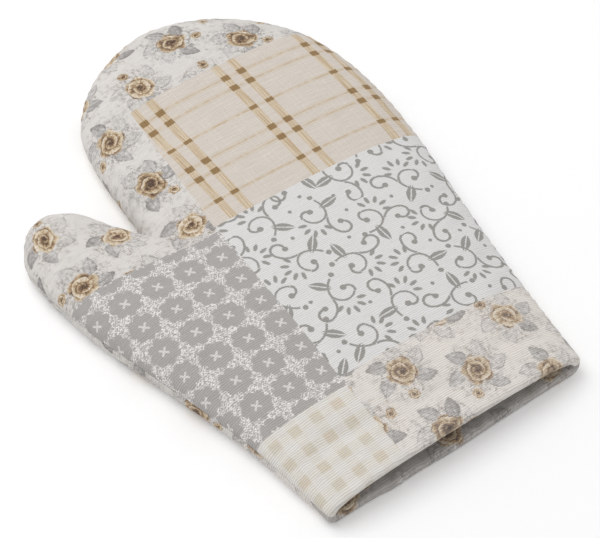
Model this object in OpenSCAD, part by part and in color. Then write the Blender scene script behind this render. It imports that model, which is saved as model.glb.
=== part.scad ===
// Padded oven mitt with one thumb, lying on its palm.
// +Y runs to the fingertips, the thumb is on the -X side, the back of the hand faces +Z.
// Every cloth layer is a thin shell between two depths of one puffed body.

/* [Overall] */
// Length from the cuff edge to the fingertips
mitt_length = 297; // [230:1:360]
// Width across the thumb and the hand, seam to seam
mitt_width = 205; // [170:1:250]
// Height over the middle of the empty hand
hand_height = 24; // [21:0.5:34]
// Height over the middle of the thumb
thumb_height = 20.5; // [17:0.5:28]
// Height of the cuff at the middle of the mouth
cuff_height = 19; // [17:0.5:26]
// Width of the cuff, edge to edge
cuff_width = 146; // [130:0.5:180]

/* [Cloth and wadding] */
// Thickness of the printed cotton
shell_t = 0.6; // [0.4:0.1:1]
// Thickness of the wadding in each panel
wadding_t = 2.2; // [1.2:0.1:3]
// Thickness of the lining cotton
lining_t = 0.5; // [0.3:0.1:0.8]
// Free space between two cloth layers
layer_gap = 0.3; // [0.2:0.05:0.4]

/* [Edge and cuff] */
// Roundness of the edge under the seam
edge_r = 8; // [6:0.5:10]
// How far up the edge the seam lies, in degrees over the widest line
seam_angle = 42; // [25:1:55]
// The same at the cuff, where the side seams run near the widest line
cuff_seam_angle = 12; // [5:1:42]
// Depth of the printed cloth turned in at the mouth
hem_depth = 20; // [12:1:26]
// Distance of the hem stitches from the hem's inner edge
hem_stitch = 3; // [2:0.5:6]
// Thickness of the sewing thread
thread_d = 0.6; // [0.4:0.05:0.8]

/* [Hidden] */
ref_w = 205;
ref_l = 297;
sx = mitt_width / ref_w;
sy = mitt_length / ref_l;

// Sewn edge from the cuff on the thumb side, round the thumb, the crotch and the
// fingertips, to the cuff on the far side, for a mitt of the reference size.
// The first and the last stretch are straight.
edge = [
    [-67.5, -148.5], [-73, -108], [-82, -67], [-91, -32], [-99.5, 3], [-102.5, 34],
    [-99, 58], [-89, 70], [-77, 71.5], [-66, 65], [-56.5, 50],
    [-51.5, 40], [-48.3, 35.5], [-46, 41], [-44.3, 58], [-41.5, 86],
    [-35, 110], [-22, 127], [0, 141.5], [27, 148.5], [54, 141.5],
    [78, 124], [94, 101], [101, 74], [102.5, 48], [99.5, 12],
    [92, -32], [86.5, -67], [82, -108], [78.5, -148.5]
];
end = len(edge) - 1;
cuff_y = edge[0].y;
cuff_mid = (edge[0].x + edge[end].x) / 2;
cuff_ref = edge[end].x - edge[0].x;

// Middle line of the hand: x, y, and 0 for the cuff's height to 1 for the hand's.
hand_line = [
    [5.5, -148.5, 0], [4.5, -108, 0.4], [-4, -72, 0.78], [-18, -38, 1],
    [4, 0, 1], [19, 32, 1], [27, 58, 0.97], [28, 78, 0.92]
];
// Middle line of the thumb: x, y, and 0 for the thumb's height to 1 for the hand's.
thumb_line = [
    [-18, -38, 1], [-40, -15, 0.8], [-57, 9, 0.45], [-70, 31, 0.1], [-77, 45, 0]
];

// Points per stretch of the edge, and rings from the seam to the middle line.
n_side = 5;
n_thumb = 9;
n_tip = 12;
n_crotch = 6;
n_hand = 10;
n_dome = 20;
rings = 8;
palm_rings = 8;
floor_rings = 2;

// Smooth curve through a list of points, u counts the points from 0.
function gap_at(p, i) = norm([p[i + 1].x - p[i].x, p[i + 1].y - p[i].y]);
function pull(p, i) =
    i < 2 ? (p[1] - p[0]) / gap_at(p, 0)
    : i > len(p) - 3 ? (p[len(p) - 1] - p[len(p) - 2]) / gap_at(p, len(p) - 2)
    : let (a = gap_at(p, i - 1), b = gap_at(p, i))
      ((p[i] - p[i - 1]) / a * b + (p[i + 1] - p[i]) / b * a) / (a + b);
function curve(p, u) =
    let (i = min(floor(u), len(p) - 2), t = u - i, d = gap_at(p, i))
    p[i] * (2 * t * t * t - 3 * t * t + 1)
    + pull(p, i) * d * (t * t * t - 2 * t * t + t)
    + p[i + 1] * (3 * t * t - 2 * t * t * t)
    + pull(p, i + 1) * d * (t * t * t - t * t);

// Depths of the layers under the outer face.
wad_in = shell_t + layer_gap;
wad_out = wad_in + wadding_t;
lin_in = wad_out + layer_gap;
lin_out = lin_in + lining_t;
hem_in = lin_out + layer_gap;
hem_out = hem_in + shell_t;

// Stations behind the mouth: lip, inside of the fold, middle of the fold,
// end of the fold where wadding and lining start, and inner edge of the hem.
lip_r = hem_out / 2 - 0.4;
behind = [0, shell_t, (shell_t + lip_r) / 2, lip_r, hem_depth];
n_lip = len(behind);
n_fold = 3;
cuff_stretch = (edge[1].y - edge[0].y) * sy;

// Curve parameters of the stations, from the left cuff to the right one.
function steps(u0, u1, n) = [for (i = [1:n]) u0 + (u1 - u0) * i / n];
edge_u = concat(
    [for (g = behind) g / cuff_stretch], [1],
    steps(1, 3, n_side), steps(3, 6, n_thumb), steps(6, 9, n_tip),
    steps(9, 11, n_thumb), steps(11, 13, n_crotch), steps(13, 16, n_hand),
    steps(16, 22, n_dome), steps(22, 26, n_hand), steps(26, 28, n_side),
    [for (i = [n_lip - 1:-1:0]) end - behind[i] / cuff_stretch]
);
hand_n = n_lip + n_side + n_hand;
fork_i = n_lip + n_side;
// Middle-line number for every station: 0 to hand_n is the hand, then the thumb.
function up(a, b) = [for (i = [a:1:b]) i];
function down(a, b) = [for (i = [a:-1:b]) i];
function same(a, n) = [for (i = [1:n]) a];
thumb_ids = concat([fork_i], up(hand_n + 1, hand_n + n_thumb));
mid_of = concat(
    up(0, fork_i),
    [for (i = [1:n_thumb]) thumb_ids[i]], same(thumb_ids[n_thumb], n_tip),
    [for (i = [n_thumb - 1:-1:0]) thumb_ids[i]], same(fork_i, n_crotch),
    up(fork_i + 1, hand_n), same(hand_n, n_dome), down(hand_n - 1, 0)
);
stations = len(mid_of);
last = stations - 1;

// Edge points before centring. Near the cuff the width follows the cuff's own width.
function ramp(t) = t < 0 ? 0 : t > 1 ? 1 : t * t * (3 - 2 * t);
function sized(p) =
    let (k = ramp((-10 - p.y) / 100), own = cuff_width / cuff_ref)
    [cuff_mid * sx + (p.x - cuff_mid) * (own * k + sx * (1 - k)), p.y * sy];
raw_edge = [for (u = edge_u) sized(curve(edge, u))];
mid_x = (min([for (p = raw_edge) p.x]) + max([for (p = raw_edge) p.x])) / 2;
mid_y = (min([for (p = raw_edge) p.y]) + max([for (p = raw_edge) p.y])) / 2;
rim = [for (p = raw_edge) [p.x - mid_x, p.y - mid_y]];

// Inward directions, straight across the mitt at the mouth.
function inward_at(u) =
    let (t = sized(curve(edge, u + 0.02)) - sized(curve(edge, u - 0.02)))
    [t.y, -t.x] / norm(t);
inward = [for (i = [0:last])
    i < n_lip ? [1, 0] : i > last - n_lip ? [-1, 0] : inward_at(edge_u[i])];

// Middle-line points [x, y, height], centred like the edge.
function mix(a, b, t) = a + (b - a) * t;
function hand_mid(u) =
    let (p = curve(hand_line, u))
    [p.x * sx - mid_x, p.y * sy - mid_y, mix(cuff_height, hand_height, p.z)];
function thumb_mid(u) =
    let (p = curve(thumb_line, u))
    [p.x * sx - mid_x, p.y * sy - mid_y, mix(thumb_height, hand_height, p.z)];
fork = 3;
mids = concat(
    [for (g = behind) hand_mid(g / cuff_stretch)],
    [for (u = concat([1], steps(1, fork, n_side), steps(fork, len(hand_line) - 1, n_hand)))
        hand_mid(u)],
    [for (u = steps(0, len(thumb_line) - 1, n_thumb)) thumb_mid(u)]
);

// Roundness of the edge at each station, smaller at the flatter cuff.
cuff_edge_r = edge_r * 0.76;
round_at = [for (p = rim) mix(cuff_edge_r, edge_r, ramp((p.y - rim[0].y) / (90 * sy)))];
// Seam angle at each station, which rises once it is past the hem.
seam_at = [for (p = rim)
    mix(cuff_seam_angle, seam_angle, ramp((p.y - rim[0].y - hem_depth) / (90 * sy)))];

// Depth d at station i, bent round the lip so that the fold at the mouth is round.
function bent(d, i) =
    let (j = min(i, last - i), g = j < n_lip ? behind[j] : hem_depth, o = lip_r - g)
    o <= 0 ? d
    : d < hem_out / 2 ? lip_r - sqrt(max(0, pow(lip_r - d, 2) - o * o))
    : hem_out - lip_r + sqrt(max(0, pow(lip_r - hem_out + d, 2) - o * o));

// A point of the edge curve at angle a over the widest line and depth d in the cloth.
function edge_point(i, a, d) =
    let (r = round_at[i], e = r - (r - d) * cos(a), q = rim[i] + inward[i] * e)
    [q.x, q.y, r + (r - d) * sin(a)];

// Back of the hand: a swelling from the seam to the middle line.
// Here and in the palm, a is the angle from the seam to the layer's own edge.
swell = 2.5;
function back_point(i, k, d, a) =
    let (
        s = edge_point(i, seam_at[i] + a, d), m = mids[mid_of[i]], f = 90 * k / rings,
        w = 1 - pow(cos(f), 2 / swell), h = pow(sin(f), 2 / swell),
        top = m.z - d
    )
    [s.x + (m.x - s.x) * w, s.y + (m.y - s.y) * w, s.z + (top - s.z) * h];
// Palm: round the edge to its lowest point, then flat to the middle line.
function palm_point(i, k, d, a) =
    let (
        g = max(0, k - palm_rings + 1) / (floor_rings + 1), m = mids[mid_of[i]],
        b = seam_at[i] + a,
        s = edge_point(i, b - (b + 90) * min(1, k / (palm_rings - 1)), d)
    )
    [mix(s.x, m.x, g), mix(s.y, m.y, g), s.z];

// Angles from the seam to the layers' edges, a layer gap apart.
seam_open = asin(layer_gap / 2 / cuff_edge_r);
thread_open = asin((thread_d / 2 + layer_gap) / (cuff_edge_r - wad_out));
back_a = seam_open;
palm_a = -seam_open;
back_in_a = thread_open;
palm_in_a = -thread_open;

// A skin is a net of points, rings from the seam inward by stations along the seam,
// closed at the middle line. Faces are listed clockwise as seen from outside.
function turned(fs) = [for (f = fs) [for (j = [len(f) - 1:-1:0]) f[j]]];
function halves(a, b, c, d) = [[a, b, c], [a, c, d]];
function flat(ls) = [for (l = ls) for (f = l) f];
palm_n = palm_rings + floor_rings;
function back_skin(d, a) = concat(
    [for (k = [0:rings - 1]) for (i = [0:last]) back_point(i, k, bent(d, i), a)],
    [for (i = [0:len(mids) - 1]) [mids[i].x, mids[i].y, mids[i].z - bent(d, min(i, n_lip))]]
);
function palm_skin(d, a) = concat(
    [for (k = [0:palm_n - 1]) for (i = [0:last]) palm_point(i, k, bent(d, i), a)],
    [for (i = [0:len(mids) - 1]) [mids[i].x, mids[i].y, bent(d, min(i, n_lip))]]
);

// Number of the point of skin s, ring k, station i, for skins of n rings.
function nr(n, s, k, i) = s * (n * stations + len(mids))
    + (k < n ? k * stations + i : n * stations + mid_of[i]);
// Skin s between stations c0 and c1, facing up.
function net(n, s, c0, c1) = flat([for (i = [c0:1:c1 - 1]) for (k = [0:n - 1])
    k == n - 1 && mid_of[i] == mid_of[i + 1]
    ? [[nr(n, s, k, i), nr(n, s, k, i + 1), nr(n, s, n, i)]]
    : halves(nr(n, s, k, i), nr(n, s, k, i + 1), nr(n, s, k + 1, i + 1), nr(n, s, k + 1, i))]);
// Upright face across the mouth at stations c and last - c, between skins s and t.
function mouth(n, s, t, c) = flat([for (k = [0:n - 1]) [
    [nr(n, s, k, c), nr(n, s, k + 1, c), nr(n, t, k + 1, c), nr(n, t, k, c)],
    [nr(n, s, k + 1, last - c), nr(n, s, k, last - c),
        nr(n, t, k, last - c), nr(n, t, k + 1, last - c)]
]]);
// Seam face between skins s and t, from station c0 to c1.
function seam(n, s, t, c0, c1) = flat([for (i = [c0:1:c1 - 1])
    halves(nr(n, s, 0, i + 1), nr(n, s, 0, i), nr(n, t, 0, i), nr(n, t, 0, i + 1))]);
// Seam face of the fold at the lip, where the four skins of a hemmed panel meet.
function fold_seam(n, a, b) = [
    for (w = [[0, b, 1, b], [1, b, 2, b], [2, b, 3, b], [3, b, 3, a]])
        [nr(n, 0, 0, a), nr(n, w[0], 0, w[1]), nr(n, w[2], 0, w[3])]
];

// Faces of a plain layer, from the end of the lip's fold inward.
function layer_faces(n) =
    let (c = n_fold, e = last - n_fold)
    concat(net(n, 0, c, e), turned(net(n, 1, c, e)), mouth(n, 0, 1, c), seam(n, 0, 1, c, e));

// Faces of a printed panel: outer skin, inner skin, and the turned-in hem's two skins.
function hemmed_faces(n) =
    let (h = n_lip - 1, e = last - h)
    concat(
        net(n, 0, 0, last), turned(net(n, 1, 1, last - 1)),
        net(n, 2, 1, h), net(n, 2, e, last - 1),
        turned(net(n, 3, 0, h)), turned(net(n, 3, e, last)),
        mouth(n, 0, 3, 0), turned(mouth(n, 1, 2, 1)), turned(mouth(n, 2, 3, h)),
        seam(n, 0, 1, 1, last - 1), seam(n, 2, 3, 1, h), seam(n, 2, 3, e, last - 1),
        turned(fold_seam(n, 0, 1)), fold_seam(n, last, last - 1)
    );

module back_layer(d0, d1, a) {
    polyhedron(
        points = concat(back_skin(d0, a), back_skin(d1, a)),
        faces = layer_faces(rings), convexity = 10
    );
}

module palm_layer(d0, d1, a) {
    polyhedron(
        points = concat(palm_skin(d0, a), palm_skin(d1, a)),
        faces = turned(layer_faces(palm_n)), convexity = 10
    );
}

// Printed cotton of the back, turned in over the wadding at the mouth.
module back_shell() {
    color([0.87, 0.84, 0.78])
    polyhedron(
        points = concat(
            back_skin(0, back_a), back_skin(shell_t, back_a),
            back_skin(hem_in, back_a), back_skin(hem_out, back_a)
        ),
        faces = hemmed_faces(rings), convexity = 10
    );
}

// Wadding of the back.
module back_wadding() {
    color([0.93, 0.93, 0.9]) back_layer(wad_in, wad_out, back_in_a);
}

// Lining of the back, next to the hand.
module back_lining() {
    color([0.9, 0.89, 0.87]) back_layer(lin_in, lin_out, back_in_a);
}

// Printed cotton of the palm, flat where the mitt rests, turned in at the mouth.
module palm_shell() {
    color([0.84, 0.82, 0.78])
    polyhedron(
        points = concat(
            palm_skin(0, palm_a), palm_skin(shell_t, palm_a),
            palm_skin(hem_in, palm_a), palm_skin(hem_out, palm_a)
        ),
        faces = turned(hemmed_faces(palm_n)), convexity = 10
    );
}

// Wadding of the palm.
module palm_wadding() {
    color([0.93, 0.93, 0.9]) palm_layer(wad_in, wad_out, palm_in_a);
}

// Lining of the palm, next to the hand.
module palm_lining() {
    color([0.9, 0.89, 0.87]) palm_layer(lin_in, lin_out, palm_in_a);
}

// A round thread along a path. Each entry is [point, side direction, other direction].
thread_n = 8;
function thread_ring(q) = [for (j = [0:thread_n - 1])
    q[0] + thread_d / 2 * (q[1] * cos(360 * j / thread_n) + q[2] * sin(360 * j / thread_n))];
function thread_points(path) = [for (q = path) for (p = thread_ring(q)) p];
function thread_sides(n, closed) = flat([for (i = [0:1:n - (closed ? 1 : 2)])
    for (j = [0:thread_n - 1])
        let (a = i * thread_n, b = ((i + 1) % n) * thread_n, j2 = (j + 1) % thread_n)
        halves(a + j, b + j, b + j2, a + j2)]);

// Seam thread that joins the back and the palm, in the fold under the printed cotton.
seam_d = wad_in + wadding_t * 0.5;
module seam_thread() {
    path = [for (i = [n_fold:last - n_fold]) [
        edge_point(i, seam_at[i], seam_d),
        [inward[i].x, inward[i].y, 0],
        [0, 0, 1]
    ]];
    n = len(path);
    color([0.95, 0.94, 0.92])
    polyhedron(
        points = thread_points(path),
        faces = concat(
            turned(thread_sides(n, false)),
            [[for (j = [thread_n - 1:-1:0]) j]],
            [[for (j = [0:thread_n - 1]) (n - 1) * thread_n + j]]
        ),
        convexity = 10
    );
}

// Hem thread round the inside of the mouth, just short of the hem's inner edge.
hem_d = hem_out + layer_gap + thread_d / 2;
module hem_thread() {
    h = n_lip - 1;
    y = rim[h].y - hem_stitch;
    left = concat(
        [for (k = [palm_rings - 1:-1:0]) palm_point(h, k, hem_d, 0)],
        [for (k = [1:rings - 1]) back_point(h, k, hem_d, 0)]
    );
    m = mids[h];
    right = concat(
        [for (k = [rings - 1:-1:1]) back_point(last - h, k, hem_d, 0)],
        [for (k = [0:palm_rings - 1]) palm_point(last - h, k, hem_d, 0)]
    );
    loop = concat(left, [[m.x, m.y, m.z - hem_d]], right);
    n = len(loop);
    path = [for (i = [0:n - 1])
        let (
            a = loop[(i + n - 1) % n], b = loop[(i + 1) % n], t = [b.x - a.x, b.z - a.z],
            w = [t.y, -t.x] / norm(t)
        )
        [[loop[i].x, y, loop[i].z], [w.x, 0, w.y], [0, 1, 0]]];
    color([0.95, 0.94, 0.92])
    polyhedron(
        points = thread_points(path), faces = thread_sides(n, true), convexity = 10
    );
}

back_shell();
back_wadding();
back_lining();
palm_shell();
palm_wadding();
palm_lining();
seam_thread();
hem_thread();
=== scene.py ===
import math

import bmesh
import bpy
import numpy as np
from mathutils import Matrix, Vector
from mathutils.bvhtree import BVHTree
from mathutils.interpolate import poly_3d_calc


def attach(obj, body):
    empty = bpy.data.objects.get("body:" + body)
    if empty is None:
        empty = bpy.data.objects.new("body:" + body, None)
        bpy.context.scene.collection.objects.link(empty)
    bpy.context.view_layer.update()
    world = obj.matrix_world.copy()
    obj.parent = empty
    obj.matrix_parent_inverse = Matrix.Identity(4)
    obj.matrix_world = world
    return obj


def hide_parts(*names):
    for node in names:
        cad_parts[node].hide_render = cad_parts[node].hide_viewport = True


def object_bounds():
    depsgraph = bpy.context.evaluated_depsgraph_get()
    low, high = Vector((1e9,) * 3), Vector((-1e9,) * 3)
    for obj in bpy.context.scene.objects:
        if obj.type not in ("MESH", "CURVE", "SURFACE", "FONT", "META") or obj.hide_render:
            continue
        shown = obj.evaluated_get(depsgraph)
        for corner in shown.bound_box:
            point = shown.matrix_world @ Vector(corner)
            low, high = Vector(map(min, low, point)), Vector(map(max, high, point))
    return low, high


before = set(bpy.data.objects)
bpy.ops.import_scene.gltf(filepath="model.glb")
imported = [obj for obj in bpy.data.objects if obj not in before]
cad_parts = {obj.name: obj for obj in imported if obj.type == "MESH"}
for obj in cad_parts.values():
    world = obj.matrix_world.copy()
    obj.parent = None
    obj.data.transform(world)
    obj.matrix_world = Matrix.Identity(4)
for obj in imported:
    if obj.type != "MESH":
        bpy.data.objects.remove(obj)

cad_low, cad_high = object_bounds()
MM = 0.001

# ---------------------------------------------------------------- printed cotton, back
# The back of the hand is one piece of printed cotton, cut to the mitt's outline. It is
# sewn to the palm all round except at the cuff, where it is turned in over the wadding.

# Sewn edge, in millimetres, round the thumb, the crotch and the fingertips.
SEWN_EDGE = [
    (-67.5, -148.5), (-73, -108), (-82, -67), (-91, -32), (-99.5, 3), (-102.5, 34),
    (-99, 58), (-89, 70), (-77, 71.5), (-66, 65), (-56.5, 50),
    (-51.5, 40), (-48.3, 35.5), (-46, 41), (-44.3, 58), (-41.5, 86),
    (-35, 110), (-22, 127), (0, 141.5), (27, 148.5), (54, 141.5),
    (78, 124), (94, 101), (101, 74), (102.5, 48), (99.5, 12),
    (92, -32), (86.5, -67), (82, -108), (78.5, -148.5),
]
# Middle lines of the hand and the thumb: x, y, and the share of the full height.
HAND_LINE = [
    (5.5, -148.5, 0), (4.5, -108, 0.4), (-4, -72, 0.78), (-18, -38, 1),
    (4, 0, 1), (19, 32, 1), (27, 58, 0.97), (28, 78, 0.92),
]
THUMB_LINE = [
    (-18, -38, 1), (-40, -15, 0.8), (-57, 9, 0.45), (-70, 31, 0.1), (-77, 45, 0),
]
# Stretches of the edge, and where each meets the middle lines.
EDGE_KNOTS = [0, 1, 3, 13, 16, 22, 26, 28, 29]
HAND_KNOTS = [0, 1, 3, 3, 7, 7, 3, 1, 0]
THUMB_KNOTS, THUMB_AT = [3, 6, 9, 11], [0, 4, 4, 0]

SHARE = (cad_high.x - cad_low.x) / 0.205, (cad_high.y - cad_low.y) / 0.297
TALL = (cad_high.z - cad_low.z) / 0.0241
HAND_HEIGHT, THUMB_HEIGHT, CUFF_HEIGHT = 24 * TALL, 20.5 * TALL, 19 * TALL
CUFF_WIDTH = 146
CLOTH, WADDING, LINING, GAP, THREAD = 0.6, 2.2, 0.5, 0.3, 0.6
EDGE_R, CUFF_EDGE_R = 8, 8 * 0.76
# Where the seam runs over (or under) the widest line, in degrees, by stretch of the edge.
SEAM_HEIGHT = {0: 12, 1: 18, 4: 16, 5.5: 2, 8: -14, 12: -14, 16: -8, 18: 20, 28: 20, 29: 12}
HEM_DEPTH = 20
SWELL = 2.5

WADDING_AT = CLOTH + GAP
LINING_AT = WADDING_AT + WADDING + GAP
HEM_AT = LINING_AT + LINING + GAP
HEM_FACE = HEM_AT + CLOTH
LIP_R = HEM_FACE / 2 - 0.4


def smooth(t):
    t = np.clip(t, 0, 1)
    return t * t * (3 - 2 * t)


def blend_to(a, b, t):
    return a + (b - a) * t


def curve_through(points, u):
    """Smooth curve through the points; the first and last stretches are straight."""
    p = np.array(points, float)
    u = np.asarray(u, float)
    gap = np.hypot(*(p[1:, :2] - p[:-1, :2]).T)[:, None]
    slope = (p[1:] - p[:-1]) / gap
    pull = np.empty_like(p)
    pull[1:-1] = (slope[:-1] * gap[1:] + slope[1:] * gap[:-1]) / (gap[:-1] + gap[1:])
    pull[:2], pull[-2:] = slope[0], slope[-1]
    i = np.minimum(u.astype(int), len(p) - 2)
    t, d = (u - i)[:, None], gap[i]
    return (
        p[i] * (2 * t**3 - 3 * t**2 + 1)
        + pull[i] * d * (t**3 - 2 * t**2 + t)
        + p[i + 1] * (3 * t**2 - 2 * t**3)
        + pull[i + 1] * d * (t**3 - t**2)
    )


def sized(p):
    """Reference outline to this mitt's width and length, with the cuff's own width."""
    mid = (SEWN_EDGE[0][0] + SEWN_EDGE[-1][0]) / 2
    own = CUFF_WIDTH / (SEWN_EDGE[-1][0] - SEWN_EDGE[0][0])
    k = smooth((-10 - p[:, 1]) / 100)
    x = mid * SHARE[0] + (p[:, 0] - mid) * (own * k + SHARE[0] * (1 - k))
    return np.stack([x, p[:, 1] * SHARE[1]], 1)


def stretch(u0, u1, n):
    return list(u0 + (u1 - u0) * np.arange(1, n + 1) / n)


# Stations along the sewn edge, close together where the cloth folds over at the lip.
cuff_stretch = (SEWN_EDGE[1][1] - SEWN_EDGE[0][1]) * SHARE[1]
fold = sorted([LIP_R * (1 - math.cos(math.radians(a))) for a in range(0, 91, 18)] + [CLOTH])
behind = fold + stretch(LIP_R, HEM_DEPTH, 11) + stretch(HEM_DEPTH, cuff_stretch, 12)
IN_FOLD = fold.index(CLOTH)
END_FOLD = len(fold) - 1
END_HEM = behind.index(HEM_DEPTH)
station_u = (
    [g / cuff_stretch for g in behind]
    + stretch(1, 3, 40) + stretch(3, 6, 54) + stretch(6, 9, 60) + stretch(9, 11, 54)
    + stretch(11, 13, 32) + stretch(13, 16, 56) + stretch(16, 22, 130)
    + stretch(22, 26, 56) + stretch(26, 28, 40)
    + [29 - g / cuff_stretch for g in behind[-2::-1]]
)
station_u = np.array(station_u)
LAST = len(station_u) - 1
behind_lip = np.minimum(station_u, 29 - station_u) * cuff_stretch

edge_xy = sized(curve_through(SEWN_EDGE, station_u))
centre = (edge_xy.min(0) + edge_xy.max(0)) / 2
edge_xy = edge_xy - centre
ahead = sized(curve_through(SEWN_EDGE, np.clip(station_u + 0.02, 0, 29)))
back_of = sized(curve_through(SEWN_EDGE, np.clip(station_u - 0.02, 0, 29)))
along = (ahead - back_of) / np.hypot(*(ahead - back_of).T)[:, None]
inward = np.stack([along[:, 1], -along[:, 0]], 1)
inward[behind_lip <= HEM_DEPTH] = (1, 0)
inward[(behind_lip <= HEM_DEPTH) & (station_u > 15)] = (-1, 0)
edge_way = np.concatenate([[0], np.cumsum(np.hypot(*np.diff(edge_xy, axis=0).T))])

hand_mid = curve_through(HAND_LINE, np.interp(station_u, EDGE_KNOTS, HAND_KNOTS))
thumb_mid = curve_through(THUMB_LINE, np.interp(station_u, THUMB_KNOTS, THUMB_AT))
in_thumb = ((station_u > THUMB_KNOTS[0]) & (station_u < THUMB_KNOTS[-1]))[:, None]
low_end = np.where(in_thumb[:, 0], THUMB_HEIGHT, CUFF_HEIGHT)
mid = np.where(in_thumb, thumb_mid, hand_mid)
mid_xy = mid[:, :2] * SHARE - centre
mid_z = blend_to(low_end, HAND_HEIGHT, mid[:, 2])

up_mitt = edge_xy[:, 1] - edge_xy[0, 1]
round_r = blend_to(CUFF_EDGE_R, EDGE_R, smooth(up_mitt / (90 * SHARE[1])))
seam_a = np.radians(np.interp(station_u, list(SEAM_HEIGHT), list(SEAM_HEIGHT.values())))
seam_open = math.asin(0.05 / CUFF_EDGE_R)


def bent(depth):
    """Depth of a layer at each station, turned over where the cloth folds at the lip."""
    over = np.maximum(0, LIP_R - behind_lip)
    if depth < HEM_FACE / 2:
        turned = LIP_R - np.sqrt(np.maximum(0, (LIP_R - depth) ** 2 - over**2))
    else:
        rest = np.maximum(0, (LIP_R - HEM_FACE + depth) ** 2 - over**2)
        turned = HEM_FACE - LIP_R + np.sqrt(rest)
    return np.where(over > 0, turned, depth)


def edge_at(angle, depth):
    """Points of the rounded edge at an angle over the widest line."""
    r = round_r - depth
    xy = edge_xy + inward * (round_r - r * np.cos(angle))[:, None]
    return np.column_stack([xy, round_r + r * np.sin(angle)])


def at_rest(net):
    """The mitt as it was laid down: mouth askew, lower lip wavy, thumb filled to its tip."""
    net = np.array(net)
    x, y, z = net[..., 0], net[..., 1], net[..., 2]
    behind = y - edge_xy[0, 1]
    askew = (1.5 + 4.3 * (x + CUFF_WIDTH / 2) / CUFF_WIDTH) * (1 - smooth(behind / 100))
    wave = -1.0 * np.exp(-((x + 31) / 6) ** 2) - 0.9 * np.exp(-((x - 3) / 30) ** 2)
    low_lip = (1 - smooth(z / 9)) * (1 - smooth(behind / 22))
    tip = np.exp(-((x + 103) / 12) ** 2 - ((y - 46) / 16) ** 2)
    net[..., 0] = x - 1.3 * tip
    bulge = 0.6 * np.exp(-((x + 85) / 14) ** 2 - ((y - 70) / 9) ** 2)
    net[..., 1] = y + askew + wave * low_lip + bulge
    return net


# Rings from the seam to the middle line, one to four millimetres apart.
rise = np.linspace(0, math.pi / 2, 2000)
profile = 50 * (1 - np.cos(rise) ** (2 / SWELL)), 12 * np.sin(rise) ** (2 / SWELL)
reach = np.concatenate([[0], np.cumsum(np.hypot(*np.diff(profile)))])
steps = [0.0]
while steps[-1] < reach[-1] - 5:
    steps.append(steps[-1] + min(3.6, 0.9 + 0.05 * steps[-1]))
BACK_RISE = np.append(np.interp(steps, reach, rise), math.pi / 2)


def back_skin(depth, clear=seam_open):
    """Net of points of the back at a depth under its face, ring by ring."""
    depth = bent(depth)
    s = edge_at(seam_a + clear, depth)
    m = np.column_stack([mid_xy, mid_z - depth])
    rings = []
    for f in BACK_RISE:
        w, h = 1 - max(0, math.cos(f)) ** (2 / SWELL), math.sin(f) ** (2 / SWELL)
        rings.append(np.column_stack([
            blend_to(s[:, :2], m[:, :2], w), blend_to(s[:, 2], m[:, 2], h)
        ]))
    rings[-1] = m
    return at_rest(rings) + back_fill


PALM_TURN = np.linspace(0, 1, 14)
PALM_FLOOR = np.linspace(0, 1, 13)[1:]


def palm_skin(depth, clear=-seam_open):
    """The same net for the palm, which turns under at the edge and lies flat."""
    depth = bent(depth)
    start = seam_a + clear
    rings = []
    for t in PALM_TURN:
        rings.append(edge_at(start - (start + math.pi / 2) * t, depth))
    low, m = rings[-1], np.column_stack([mid_xy, depth])
    for g in PALM_FLOOR:
        rings.append(blend_to(low, m, g))
    return at_rest(rings) + palm_fill


# The stuffing: pressure, most swell in millimetres, frames of settling, the size of the
# even mesh in metres, rounds of smoothing, and the height of the puckers.
PRESSURE, MOST_SWELL, SETTLING, EVEN = 1.3, 1.6, 20, 0.004
SMOOTHINGS, PUCKER = 3, 0.28


def stood(name, data):
    """New object in the scene, at the origin."""
    made = bpy.data.objects.new(name, data)
    bpy.context.scene.collection.objects.link(made)
    return made


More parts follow.
